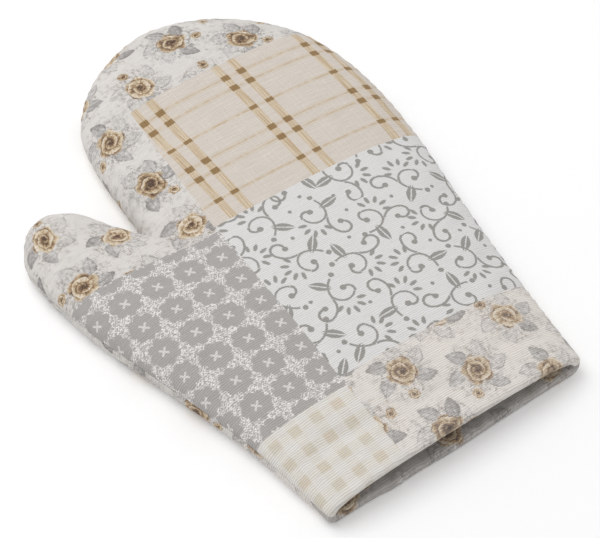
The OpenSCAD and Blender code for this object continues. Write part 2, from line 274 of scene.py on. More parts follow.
def swollen(skins):
    """How far the stuffing pushes each point of the skins out: the closed form of the
    mitt as a cloth under pressure, which puckers where it is held along the seam."""
    form = bpy.data.meshes.new("stuffed_form")
    rows = [len(skin) for skin in skins]
    wide = LAST + 1
    corners = [
        (first + k) * wide + i
        for first, n in ((0, rows[0]), (rows[0], rows[1])) for k in range(n - 1)
        for i in range(LAST)
    ]
    faces = [(c, c + 1, c + wide + 1, c + wide) for c in corners]
    back, palm = [k * wide for k in range(rows[0])], [(rows[0] + k) * wide for k in range(rows[1])]
    faces.append(tuple(back + [k + LAST for k in back[::-1]]))
    faces.append(tuple([k + LAST for k in palm] + palm[::-1]))
    points = np.concatenate([skin.reshape(-1, 3) for skin in skins]) * MM
    form.from_pydata(points.tolist(), [], faces)
    shape = bmesh.new()
    shape.from_mesh(form)
    bmesh.ops.remove_doubles(shape, verts=shape.verts, dist=2e-6)
    bmesh.ops.dissolve_degenerate(shape, edges=shape.edges, dist=1e-6)
    bmesh.ops.recalc_face_normals(shape, faces=shape.faces)
    shape.to_mesh(form)
    shape.free()
    body = stood("stuffed_form", form)
    even = body.modifiers.new("even", "REMESH")
    even.mode, even.voxel_size = "VOXEL", EVEN
    layer = bpy.context.evaluated_depsgraph_get()
    even_mesh = bpy.data.meshes.new_from_object(body.evaluated_get(layer))
    body.modifiers.clear()
    body.data = even_mesh
    start = np.empty(3 * len(even_mesh.vertices), np.float32)
    even_mesh.vertices.foreach_get("co", start)
    start = start.reshape(-1, 3).astype(float)
    held = body.vertex_groups.new(name="held")
    lip, seam = edge_xy[0, 1] * MM, skins[0][0] * MM
    for k, (x, y, z) in enumerate(start):
        off = np.linalg.norm(seam - start[k], axis=1).min()
        firm = max(1 - smooth((off - 0.003) / 0.009), 1 - smooth((y - lip) / 0.035))
        held.add([k], 1.0 if z < 0.0015 else float(firm), "REPLACE")
    cloth = body.modifiers.new("swell", "CLOTH").settings
    cloth.quality, cloth.mass = 6, 0.3
    cloth.tension_stiffness = cloth.compression_stiffness = 12
    cloth.shear_stiffness, cloth.bending_stiffness = 4, 0.15
    cloth.use_pressure, cloth.uniform_pressure_force = True, PRESSURE
    cloth.shrink_min = -0.03
    cloth.vertex_group_mass = "held"
    cloth.effector_weights.gravity = 0
    for f in range(1, SETTLING + 1):
        bpy.context.scene.frame_set(f)
    seen = body.evaluated_get(bpy.context.evaluated_depsgraph_get()).data
    end = np.empty_like(start, np.float32).ravel()
    seen.vertices.foreach_get("co", end)
    push = (end.reshape(-1, 3) - start) / MM
    size = np.linalg.norm(push, axis=1, keepdims=True)
    push *= np.minimum(1, MOST_SWELL / np.maximum(size, 1e-6))
    tree = BVHTree.FromPolygons(start.tolist(), [tuple(p.vertices) for p in even_mesh.polygons])
    fills = []
    for skin in skins:
        fill = []
        for p in skin.reshape(-1, 3) * MM:
            place, _, face, _ = tree.find_nearest(p)
            corners = list(even_mesh.polygons[face].vertices)
            share = poly_3d_calc([Vector(start[c]) for c in corners], place)
            fill.append(np.dot(share, push[corners]))
        fills.append(np.array(fill).reshape(skin.shape))
    bpy.data.objects.remove(body)
    bpy.context.scene.frame_set(1)
    return fills


back_fill = palm_fill = 0.0
unswollen = [back_skin(0, 0), palm_skin(0, 0)]
unswollen_lining = [back_skin(LINING_AT, 0), palm_skin(LINING_AT, 0)]
fills = swollen(unswollen)
for fill in fills:
    for _ in range(SMOOTHINGS):
        fill[:-1, 1:-1] = (fill[:-1, :-2] + 2 * fill[:-1, 1:-1] + fill[:-1, 2:]) / 4
        fill[1:-1] = (fill[:-2] + 2 * fill[1:-1] + fill[2:]) / 4
fills[0][0] = fills[1][0] = (fills[0][0] + fills[1][0]) / 2
back_fill, palm_fill = fills
# Small puckers between the stitches, which fade within a centimetre of the seam.
for side, skin in enumerate(unswollen):
    off = np.linalg.norm(skin - skin[0], axis=2)
    uneven = 1.6 * np.sin(edge_way * 0.11) + 0.9 * np.sin(edge_way * 0.37)
    wave = np.sin(edge_way * 0.83 + uneven)
    pucker = PUCKER * wave * smooth(behind_lip / 30) * np.exp(-off / 4) * smooth(off / 1.5)
    pucker[-1] = 0
    out = np.stack([-inward[:, 0], -inward[:, 1], np.full(LAST + 1, 0.8 * (1 - side))], 1)
    pucker = pucker[..., None] * out
    if side == 0:
        back_fill = back_fill + pucker
    else:
        palm_fill = palm_fill + pucker * (1 - smooth((2.5 - skin[..., 2:]) / 2))
        palm_fill[..., 2] = np.maximum(palm_fill[..., 2], -skin[..., 2])


def shell_faces(rings, solid, folded):
    """Faces of a layer between its outer and inner skin, in the order of net points.
    A folded panel has four skins: face, wrong side, and the same of the turned-in hem."""
    def nr(s, k, i):
        return (s * rings + k) * (LAST + 1) + i

    def net(s, c0, c1):
        return [
            (nr(s, k + 1, i), nr(s, k + 1, i + 1), nr(s, k, i + 1), nr(s, k, i))
            for i in range(c0, c1) for k in range(rings - 1)
        ]

    def mouth(s, t, c):
        faces = []
        for k in range(rings - 1):
            faces.append((nr(t, k, c), nr(t, k + 1, c), nr(s, k + 1, c), nr(s, k, c)))
            e = LAST - c
            faces.append((nr(t, k + 1, e), nr(t, k, e), nr(s, k, e), nr(s, k + 1, e)))
        return faces

    def seam(s, t, c0, c1):
        return [
            (nr(t, 0, i + 1), nr(t, 0, i), nr(s, 0, i), nr(s, 0, i + 1))
            for i in range(c0, c1)
        ]

    def back_to_front(faces):
        return [f[::-1] for f in faces]

    if not folded:
        c, e = END_FOLD, LAST - END_FOLD
        faces = net(0, c, e) + back_to_front(net(1, c, e)) + mouth(0, 1, c) + seam(0, 1, c, e)
    else:
        b, h = IN_FOLD, END_HEM
        faces = (
            net(0, 0, LAST) + back_to_front(net(1, b, LAST - b))
            + net(2, b, h) + net(2, LAST - h, LAST - b)
            + back_to_front(net(3, 0, h) + net(3, LAST - h, LAST))
            + mouth(0, 3, 0) + back_to_front(mouth(1, 2, b)) + back_to_front(mouth(2, 3, h))
            + seam(0, 1, b, LAST - b) + seam(2, 3, b, h) + seam(2, 3, LAST - h, LAST - b)
        )
        turn = (
            [nr(0, 0, i) for i in range(b + 1)] + [nr(1, 0, b), nr(2, 0, b)]
            + [nr(3, 0, i) for i in range(b, -1, -1)]
        )
        turn_far = (
            [nr(0, 0, LAST - i) for i in range(b + 1)] + [nr(1, 0, LAST - b), nr(2, 0, LAST - b)]
            + [nr(3, 0, LAST - i) for i in range(b, -1, -1)]
        )
        faces += [tuple(turn), tuple(turn_far[::-1])]
    return faces if solid == "up" else back_to_front(faces)


def cloth_object(name, points, faces, flat=None):
    """Mesh of the net, welded along the middle line, with its flat cut as UV map."""
    points = points.reshape(-1, 3)
    used = np.zeros(len(points), bool)
    used[np.concatenate([np.array(f) for f in faces])] = True
    keys = np.round(points * 1e4).astype(np.int64)
    keys[~used] = 0
    _, first, same = np.unique(keys, axis=0, return_index=True, return_inverse=True)
    same = same.ravel()
    kept, loops = [], []
    for f in faces:
        ids, here = [], []
        for p in f:
            if not ids or (same[p] != ids[-1]):
                ids.append(int(same[p]))
                here.append(p)
        if ids[0] == ids[-1]:
            ids.pop(), here.pop()
        if len(set(ids)) > 2:
            kept.append(ids)
            loops.extend(here)
    mesh = bpy.data.meshes.new(name)
    mesh.from_pydata((points[first] * MM).tolist(), [], kept)
    if flat is not None:
        uv = mesh.uv_layers.new(name="Cut")
        uv.data.foreach_set("uv", (flat.reshape(-1, 2)[loops] * MM).ravel().astype(np.float32))
    mesh.polygons.foreach_set("use_smooth", np.ones(len(mesh.polygons), bool))
    mesh.update()
    return stood(name, mesh)


def flat_cut(skin, folded=True):
    """Where each point lay on the flat cloth: its way over the surface from the middle."""
    steps = np.linalg.norm(np.diff(skin, axis=0), axis=2)
    way = np.concatenate([np.cumsum(steps[::-1], axis=0)[::-1], np.zeros((1, LAST + 1))])
    out = edge_xy - mid_xy
    out = out / np.maximum(np.hypot(*out.T), 1e-6)[:, None]
    face = mid_xy + way[..., None] * out
    hem = face.copy()
    hem[..., 1] = 2 * edge_xy[0, 1] - LIP_R - hem[..., 1]
    askew = at_rest(np.dstack([face, np.full(way.shape, 20.0)]))[..., :2] - face
    face, hem = face + askew, hem + askew
    return np.array([face, face, hem, hem]) if folded else np.array([face, face])


back_net = np.array([back_skin(d) for d in (0, CLOTH, HEM_AT, HEM_FACE)])
back_flat = flat_cut(unswollen[0])
back_piece = cloth_object(
    "back_cotton", back_net, shell_faces(len(BACK_RISE), "up", True), back_flat
)


class Ink:
    """A number in a shader tree, so that a pattern reads as plain arithmetic."""

    def __init__(self, tree, socket):
        self.tree, self.socket = tree, socket

    def do(self, operation, *others, clamp=False):
        node = self.tree.nodes.new("ShaderNodeMath")
        node.operation, node.use_clamp = operation, clamp
        for slot, value in zip(node.inputs, (self, *others)):
            if isinstance(value, Ink):
                self.tree.links.new(value.socket, slot)
            else:
                slot.default_value = value
        return Ink(self.tree, node.outputs[0])

    def __add__(self, other):
        return self.do("ADD", other)

    def __sub__(self, other):
        return self.do("SUBTRACT", other)

    def __rsub__(self, other):
        return self.do("MULTIPLY_ADD", -1.0, other)

    def __mul__(self, other):
        return self.do("MULTIPLY", other)

    def __truediv__(self, other):
        return self.do("DIVIDE", other)

    def __abs__(self):
        return self.do("ABSOLUTE")

    __radd__, __rmul__ = __add__, __mul__

    def least(self, other):
        return self.do("MINIMUM", other)

    def most(self, other):
        return self.do("MAXIMUM", other)

    def near(self, place, period):
        """Distance from the nearest of places that repeat with a period."""
        return (self - place).do("PINGPONG", period / 2)

    def within(self, soft=0.25):
        """1 where a signed distance is inside, 0 outside, with a soft printed edge."""
        return self.do("MULTIPLY_ADD", -1.0 / soft, 0.5, clamp=True)


def dye(r, g, b):
    """Colour as linear light from its 0 to 255 screen values."""
    return tuple((c / 255 / 12.92) if c <= 10 else ((c / 255 + 0.055) / 1.055) ** 2.4
                 for c in (r, g, b)) + (1.0,)


class Sheet:
    """Shorthand for the nodes of one shader tree."""

    def __init__(self, tree):
        self.tree = tree

    def node(self, kind, settings=(), **inputs):
        made = self.tree.nodes.new(kind)
        for key, value in settings:
            setattr(made, key, value)
        for key, value in inputs.items():
            self.feed(made.inputs[key.replace("_", " ")], value)
        return made

    def feed(self, slot, value):
        if isinstance(value, Ink):
            value = value.socket
        if isinstance(value, bpy.types.NodeSocket):
            self.tree.links.new(value, slot)
        else:
            slot.default_value = value

    def parts(self, vector):
        split = self.node("ShaderNodeSeparateXYZ", Vector=vector)
        return [Ink(self.tree, s) for s in split.outputs]

    def joined(self, x, y, z=0.0):
        return self.node("ShaderNodeCombineXYZ", X=x, Y=y, Z=z).outputs[0]

    def noise(self, vector, scale, detail=1.0, rough=0.5):
        made = self.node("ShaderNodeTexNoise", Vector=vector, Scale=scale, Detail=detail,
                         Roughness=rough)
        return Ink(self.tree, made.outputs[0])

    def moved(self, vector, place, turn=0.0, size=(1, 1), tone=0.0):
        """A point as seen from a motif's own place, turn and size, with the tone as z."""
        x, y = place
        spun = self.node(
            "ShaderNodeVectorRotate", [("rotation_type", "Z_AXIS")], Vector=vector,
            Center=(x, y, 0), Angle=math.radians(-turn),
        ).outputs[0]
        wide, high = size
        return self.vector(
            "MULTIPLY_ADD", spun, (1 / wide, 1 / high, 0), (-x / wide, -y / high, tone)
        )

    def vector(self, operation, *values):
        made = self.node("ShaderNodeVectorMath", [("operation", operation)])
        for slot, value in zip(made.inputs, values):
            self.feed(slot, value)
        out = "Value" if operation in ("LENGTH", "DOT_PRODUCT", "DISTANCE") else "Vector"
        return Ink(self.tree, made.outputs[out]) if out == "Value" else made.outputs[out]

    def mix(self, share, a, b, kind="MIX"):
        made = self.node("ShaderNodeMix", [("data_type", "RGBA"), ("blend_type", kind)])
        for slot, value in ((0, share), (6, a), (7, b)):
            self.feed(made.inputs[slot], value)
        return made.outputs[2]

    def pick(self, share, a, b):
        made = self.node("ShaderNodeMix", [("data_type", "VECTOR")])
        for slot, value in ((0, share), (4, a), (5, b)):
            self.feed(made.inputs[slot], value)
        return made.outputs[1]

    def ramp(self, value, stops):
        made = self.node("ShaderNodeValToRGB", Fac=value)
        bar = made.color_ramp.elements
        while len(bar) < len(stops):
            bar.new(0.5)
        for stop, (at, colour) in zip(bar, stops):
            stop.position, stop.color = at, colour
        return made.outputs[0]

    def arc(self, vector, centre, radius, start, stop, thick):
        """Signed distance to a stroke along part of a circle, angles in degrees."""
        middle, half = math.radians((start + stop) / 2), math.radians(abs(stop - start) / 2)
        away = self.vector("SUBTRACT", vector, (*centre, 0))
        long = self.vector("LENGTH", away)
        toward = self.vector("DOT_PRODUCT", away, (math.cos(middle), math.sin(middle), 0))
        stroke = abs(long - radius) - thick / 2
        return stroke.most(long * math.cos(half) - toward)

    def dot(self, vector, centre, radius):
        return self.vector("DISTANCE", vector, (*centre, 0)) - radius

    def group(self, name, **inputs):
        made = self.node("ShaderNodeGroup", [("node_tree", bpy.data.node_groups[name])], **inputs)
        return made.outputs


def new_paint(name):
    """New material with its sheet of nodes and its surface."""
    paint = bpy.data.materials.new(name)
    paint.use_nodes = True
    return paint, Sheet(paint.node_tree), paint.node_tree.nodes["Principled BSDF"]


def shader_group(name, inputs, outputs):
    """Empty shader group with its inputs and outputs; returns its sheet and both ends."""
    tree = bpy.data.node_groups.new(name, "ShaderNodeTree")
    for way, sockets in (("INPUT", inputs), ("OUTPUT", outputs)):
        for key, kind in sockets.items():
            tree.interface.new_socket(key, in_out=way, socket_type="NodeSocket" + kind)
    sheet = Sheet(tree)
    given = sheet.node("NodeGroupInput").outputs
    taken = sheet.node("NodeGroupOutput").inputs
    return sheet, given, taken


def weave_group():
    """Ribbed plain weave: stout weft threads across the mitt over finer warp threads. Its Shade
    paints shade into the colour: the gaps between the threads darker, more so toward the cuff and
    the left, with uneven thread tone from slubs and fuzz.
    """
    sh, given, taken = shader_group(
        "Weave", {"Cut": "Vector"}, {"Height": "Float", "Shade": "Float"}
    )
    x, y, _ = sh.parts(given["Cut"])
    slub = sh.noise(sh.joined(x * 0.11, y * 1.3), 1.0, 2.0) - 0.5
    wander = sh.noise(given["Cut"], 0.16, 1.0) - 0.5
    rib = abs(((y + wander * 1.6) * (math.pi / WEFT)).do("SINE")).do("POWER", 0.7)
    warp = abs((x * (math.pi / WARP)).do("SINE"))
    fuzz = sh.noise(given["Cut"], 2.4, 2.0) - 0.5
    # Depth of the painted shade in the gaps between the ribs, deeper toward the cuff and the left,
    # where the light grazes.
    rib_shade_depth = ((y + x * 0.6) * -0.0013 + 0.16).most(0.08).least(0.32)
    sh.feed(taken["Height"], rib + warp * 0.2 + slub * 0.6 + fuzz * 0.4)
    # Painted shade between the ribs and warp threads, plus uneven thread tone from slubs and fuzz.
    shade = (rib - 0.7) * rib_shade_depth + warp * 0.03 + slub * 0.24 + fuzz * 0.2
    sh.feed(taken["Shade"], shade + 0.965)


def rose_group():
    """Full-blown rose of one unit's radius: petals in a loose spiral round a dark heart."""
    sh, given, taken = shader_group(
        "Rose", {"Place": "Vector"}, {"Color": "Color", "Mask": "Float"}
    )
    x, y, tone = sh.parts(given["Place"])
    wobble = sh.noise(sh.joined(x, y, tone * 9), 1.9, 3.0, 0.6) - 0.5
    angle = y.do("ARCTAN2", x)
    radius = (x * x + y * y).do("SQRT") + wobble * 0.42
    turn = angle / (2 * math.pi)
    spiral = radius * 2.9 - turn
    petal = spiral.do("FRACT")
    ring = spiral.do("FLOOR")
    split = abs((angle * 1.5 + ring * 2.2 + tone * 6).do("SINE"))
    strokes = sh.noise(sh.joined(turn * 30, radius * 3.6, tone * 9), 1.0, 3.0, 0.6) - 0.5
    heart = (radius - 0.22).within(0.4)
    light = petal * 0.5 + split.do("POWER", 0.5) * 0.3 + strokes * 1.1 + wobble * 0.5
    light = light - heart * 0.6 + tone * 0.36
    color = sh.ramp(light, [
        (0.0, dye(76, 54, 40)), (0.24, dye(122, 94, 68)), (0.46, dye(168, 140, 106)),
        (0.66, dye(208, 188, 158)), (0.98, dye(234, 224, 209)),
    ])
    edge = (angle * 5 + tone * 11).do("SINE") * 0.08 + 0.86 + strokes * 0.3
    sh.feed(taken["Color"], color)
    sh.feed(taken["Mask"], (radius - edge).within(0.12))


def leaf_group():
    """Leaf of unit half length along x, washed in grey, with a midrib and side veins."""
    sh, given, taken = shader_group(
        "Leaf", {"Place": "Vector"}, {"Color": "Color", "Mask": "Float"}
    )
    x, y, tone = sh.parts(given["Place"])
    wash = sh.noise(sh.joined(x, y, tone * 13), 2.6, 4.0, 0.7) - 0.5
    side = abs(y)
    teeth = (x * 24 + side * 9).do("SINE") * 0.02
    half = (1 - x * x) * (x * -0.12 + 0.47) + teeth + wash * 0.14
    inside = (side - half).most(abs(x) - 1.05)
    midrib = (side - 0.02 - wash * 0.03).within(0.05)
    veins = ((x - side * 0.9) * 19).do("SINE").do("POWER", 4.0)
    light = wash * 2.2 + 0.3 + y * 0.3 - midrib * 0.35 - veins * 0.2 + tone * 0.6
    light = light - (inside + 0.1).most(-0.1) * 1.4
    color = sh.ramp(light, [
        (0.0, dye(108, 104, 102)), (0.3, dye(156, 152, 150)), (0.6, dye(192, 189, 187)),
        (1.0, dye(220, 217, 214)),
    ])
    sh.feed(taken["Color"], color)
    solid = inside.within(0.08)
    outline = (abs(inside + 0.05) - 0.045).within(0.07).most(midrib * solid)
    outline = outline.most(veins * solid * 0.6) + solid * (wash + 0.3) * 0.5
    faint = (tone - 0.5).do("GREATER_THAN", 0.0)
    solid = solid * (wash * 1.4 + 0.92).least(1.0)
    sh.feed(taken["Mask"], solid + (outline * 0.85 - solid) * faint)


def foliage_group():
    """Loose pen and wash work of small grey leaves, over a spot of one unit's radius."""
    sh, given, taken = shader_group(
        "Foliage", {"Place": "Vector", "Cut": "Vector"}, {"Color": "Color", "Mask": "Float"}
    )
    x, y, tone = sh.parts(given["Place"])
    edge = sh.noise(given["Cut"], 0.3, 2.0) - 0.5
    spot = ((x * x + y * y).do("SQRT") + edge * 1.3 - 0.95).within(0.5)
    wash = sh.noise(given["Cut"], 0.42, 3.0, 0.7)
    pen = abs(sh.noise(given["Cut"], 0.75, 2.0, 0.6) - 0.5)
    marks = (pen - 0.055).within(0.07) * (wash * 5 - 1.9).do("ADD", 0.0, clamp=True)
    grey = ((wash - 0.5) * 10).do("ADD", 0.0, clamp=True) * 0.75
    color = sh.mix(marks, dye(172, 169, 167), dye(112, 107, 104))
    sh.feed(taken["Color"], sh.mix(tone, color, dye(176, 148, 112)))
    sh.feed(taken["Mask"], spot * (grey.most(marks * 0.85)))


def sprig_group():
    """Scroll sprig of 28 mm: an S-shaped stem with a curl at each side, a leaf and a fan."""
    sh, given, taken = shader_group("Sprig", {"Place": "Vector"}, {"Mask": "Float"})
    p = given["Place"]
    strokes = sh.arc(p, (-10, -2), 12, -50, 10, 1.1)
    strokes = strokes.least(sh.arc(p, (11, 2), 9, 110, 190, 1.2))
    strokes = strokes.least(sh.arc(p, (9, 7), 3.5, -100, 110, 1.3)).least(sh.dot(p, (8, 3.5), 1.5))
    strokes = strokes.least(sh.arc(p, (-4, -3), 6, -10, 150, 1.1))
    strokes = strokes.least(sh.arc(p, (-7, -1.5), 3, 150, 300, 1.3))
    for place, dot_r in (((-5.5, -4), 1.6), ((-4, -13), 1.4), ((12, -3), 1.0)):
        strokes = strokes.least(sh.dot(p, place, dot_r))
    x, y, _ = sh.parts(sh.moved(p, (4, -9), -35))
    leaf = (abs(y) - (1 - x * x / 36) * 2.4).most(abs(x) - 6)
    strokes = strokes.least(leaf.most(0.3 - abs(y)))
    fan_x, fan_y, _ = sh.parts(sh.moved(p, (-4, 3.5), 100))
    spread = fan_y.do("ARCTAN2", fan_x)
    fold = spread.near(0.0, math.radians(36))
    out = (fan_x * fan_x + fan_y * fan_y).do("SQRT")
    along_petal, across_petal = (out - 6.5) * 0.45, fold.do("SINE") * out
    petal = (along_petal * along_petal + across_petal * across_petal).do("SQRT") - 1.0
    petal = petal.most(abs(spread) - math.radians(90))
    sh.feed(taken["Mask"], strokes.least(petal).within(0.35))


def plaid_group():
    """Open plaid: pairs of tan stripes along the mitt, darker where weft bands cross."""
    sh, given, taken = shader_group("Plaid", {"Cut": "Vector"}, {"Color": "Color"})
    x, y, _ = sh.parts(given["Cut"])
    along_noise = sh.noise(sh.joined(x * 2.3, y * 0.05), 1.0, 1.0)
    across_noise = sh.noise(sh.joined(x * 0.06, y * 1.9), 1.0, 2.0)
    pair_x = x.near(-6.5, 48)
    stripe = (abs(pair_x - 4.7) - 2.2).within(0.5)
    pair_y = y.near(43.5, 40.5)
    single_y = y.near(63.5, 40.5)
    band = (abs(pair_y - 4.0) - 1.8).least(single_y - 1.3).within(0.4)
    thin = (abs(pair_y - 4.0) - 0.5).least(single_y - 0.6).within(0.5)
    dashes = sh.noise(sh.joined(x * 0.28, y * 0.09), 1.0, 1.0) * 5 - 1.9
    dashes = dashes.do("ADD", 0.0, clamp=True)
    pale = (abs(pair_x - 13.4) - 0.28).least(abs(pair_x - 16.2) - 0.28)
    pale = pale.least(abs(pair_x - 19.0) - 0.28).least(abs(pair_y - 9.6) - 0.25)
    pale = pale.least(abs(pair_y - 12.2) - 0.25).within(0.3) * (across_noise * 2.2 - 0.7)
    ground = sh.mix(across_noise * 0.9, dye(211, 200, 189), dye(227, 219, 211))
    ground = sh.mix(along_noise * 0.5, ground, dye(213, 204, 193))
    ground = sh.mix((pale * 0.6).do("ADD", 0.0, clamp=True), ground, dye(233, 228, 220))
    threads = (along_noise * 4.0 - 1.5).do("ADD", 0.0, clamp=True)
    tan = sh.mix(threads, dye(186, 157, 115), dye(224, 208, 182))
    color = sh.mix(band * 0.2, ground, dye(205, 184, 150))
    color = sh.mix(thin * (dashes * 0.45 + 0.12), color, dye(196, 170, 130))
    color = sh.mix(stripe * 0.8, color, tan)
    dark = sh.mix(along_noise, dye(128, 98, 60), dye(170, 142, 102))
    sh.feed(taken["Color"], sh.mix(band * stripe, color, dark))


def gingham_group():
    """Small faded gingham: pale bands each way, beige where two of them cross."""
    sh, given, taken = shader_group("Gingham", {"Cut": "Vector"}, {"Color": "Color"})
    x, y, _ = sh.parts(given["Cut"])
    worn = sh.noise(given["Cut"], 0.12, 2.0)
    threads = sh.noise(sh.joined(x * 0.1, y * 2.0), 1.0, 2.0)
    across = (x.near(-34, 11.5) - 2.7).within(1.1)
    down = (y.near(-106, 11) - 2.6).within(1.1)
    faded = (worn * 3 - 1).do("ADD", 0.0, clamp=True)
    square = sh.mix(faded, dye(196, 190, 168), dye(214, 200, 182))
    color = sh.mix(threads, dye(213, 209, 203), dye(240, 237, 232))
    color = sh.mix((across + down) * 0.2, color, dye(218, 207, 186))
    sh.feed(taken["Color"], sh.mix(across * down * (worn * 1.1), color, square))


def lattice_group():
    """Grey eight-lobed flowers in rows that touch, with white lace in the gaps."""
    sh, given, taken = shader_group("Lattice", {"Cut": "Vector"}, {"Color": "Color"})
    x, y, _ = sh.parts(given["Cut"])
    fine = sh.noise(given["Cut"], 1.3, 3.0, 0.75)
    gx = x.near(-46.5, 17)
    gy = (y + x * 0.075).near(-9.5, 16)
    out = (gx * gx + gy * gy * 1.1).do("SQRT")
    lobes = abs((gy.do("ARCTAN2", gx) * 4).do("COSINE")) * 1.5
    flower = (out - 6.5 - lobes + (fine - 0.5) * 2.4).within(0.6)
    ray = (abs(gx - gy) - 0.72).most(gx + gy - 3.6)
    star = ray.least(out - 0.8).within(0.5)
    one = sh.noise(sh.joined((x + y) * 1.25, (x - y) * 0.32), 1.0, 1.0)
    two = sh.noise(sh.joined((x + y) * 0.32, (x - y) * 1.25, 7.0), 1.0, 1.0)
    mesh = (one.most(two) - 0.5) * 6.0 + (fine - 0.5) * 2.0
    lace = sh.mix(mesh.do("ADD", 0.1, clamp=True), dye(176, 172, 169), dye(242, 239, 236))
    petal = sh.mix(fine, dye(160, 156, 153), dye(190, 186, 183))
    petal = sh.mix(star * 0.8, petal, dye(230, 227, 224))
    sh.feed(taken["Color"], sh.mix(flower, lace, petal))


def nearest(sh, cut, motifs):
    """The point as seen from the nearest motif; each has x, y, turn, size and tone."""
    best, least = None, None
    for x, y, turn, size, tone in motifs:
        here = sh.moved(cut, (x, y), turn, size, tone)
        far = sh.vector("LENGTH", here)
        if best is None:
            best, least = here, far
        else:
            closer = far.do("LESS_THAN", least)
            best = sh.pick(closer, best, here)
            least = far.least(least)
    return best


WEFT, WARP = 1.1, 0.55
weave_group()
rose_group()
leaf_group()
foliage_group()
sprig_group()
plaid_group()
gingham_group()
lattice_group()

def half_drop(sh, cut, across, down):
    """Half-drop repeat in two layers, so that the ends of neighbours may lie side by side.
    Each layer gives the point as seen from the middle of its own cell, where every cell is
    turned on from the last by a fixed step, and the cell's share from 0 to 1."""
    x, y, _ = sh.parts(cut)
    layers = []
    for half in (0, 0.5):
        here_x = (x - half * across).do("WRAP", across / 2, -across / 2)
        here_y = (y - half * down).do("WRAP", down / 2, -down / 2)
        step = (x - here_x) * (COLUMN_TURN / across) + (y - here_y) * (ROW_TURN / down)
        here = sh.node(
            "ShaderNodeVectorRotate", [("rotation_type", "Z_AXIS")],
            Vector=sh.joined(here_x, here_y), Angle=step * (2 * math.pi)
        )
        layers.append((here.outputs[0], (step + 0.005).do("FRACT")))
    return layers


def posy(sh, at, color, strength):
    """Posies on a half-drop repeat: loose foliage, a stem to a bud, five leaves, a rose."""
    worn = (sh.noise(at, 0.35, 2.0) * 1.6).least(0.9) * strength
    for here, share in half_drop(sh, at, 2 * POSY_APART, POSY_DOWN):
        x, y, _ = sh.parts(here)
        spot = sh.group("Foliage", Place=sh.joined(x / 16, y / 14, share * 0.3), Cut=at)
        color = sh.mix(Ink(sh.tree, spot["Mask"]) * strength, color, spot["Color"])
        stem = sh.arc(here, (6.5, -11), 13, 55, 125, 0.45).within(0.35)
        color = sh.mix(stem * worn, color, dye(165, 161, 157))
        for kind, motifs, shades in (("Leaf", POSY_LEAVES, 1.0), ("Rose", POSY_ROSES, 0.5)):
            near_x, near_y, tone = sh.parts(nearest(sh, here, motifs))
            tone = (tone + share).do("FRACT") * shades
            drawn = sh.group(kind, Place=sh.joined(near_x, near_y, tone))
            color = sh.mix(Ink(sh.tree, drawn["Mask"]) * strength, color, drawn["Color"])
    return color


# The patches of the print, by their edges on the flat cut.
PLAID = {"left": -15, "low": 10, "top": 98}
SCROLL = {"left": -22, "low": -95}
PATCHES_END = 108
# Where the cotton turns in at the mouth; past it the ground is painted dark grey as the shade
# inside the mouth.
TURNED_IN = -150
LATTICE = {"top": 9, "low": -100}
GINGHAM_RIGHT = -25
# How far a motif is turned on from the next column and row, as shares of a turn.
COLUMN_TURN, ROW_TURN = 0.38, 0.24
SPRIG_APART, SPRIG_DOWN = 23, 29
POSY_APART, POSY_DOWN = 30, 36
# A posy's roses and leaves: x, y, turn, half width and height, tone.
POSY_ROSES = [(0, 0, 0, (9, 8), 0.0), (13, 0, 30, (3.5, 3), 0.4)]
POSY_LEAVES = [
    (11 * math.cos(a), 11 * math.sin(a), math.degrees(a) + 25, (6, 7.5), 0.27 * k)
    for k, a in enumerate(np.radians(np.arange(60, 301, 60)))
]


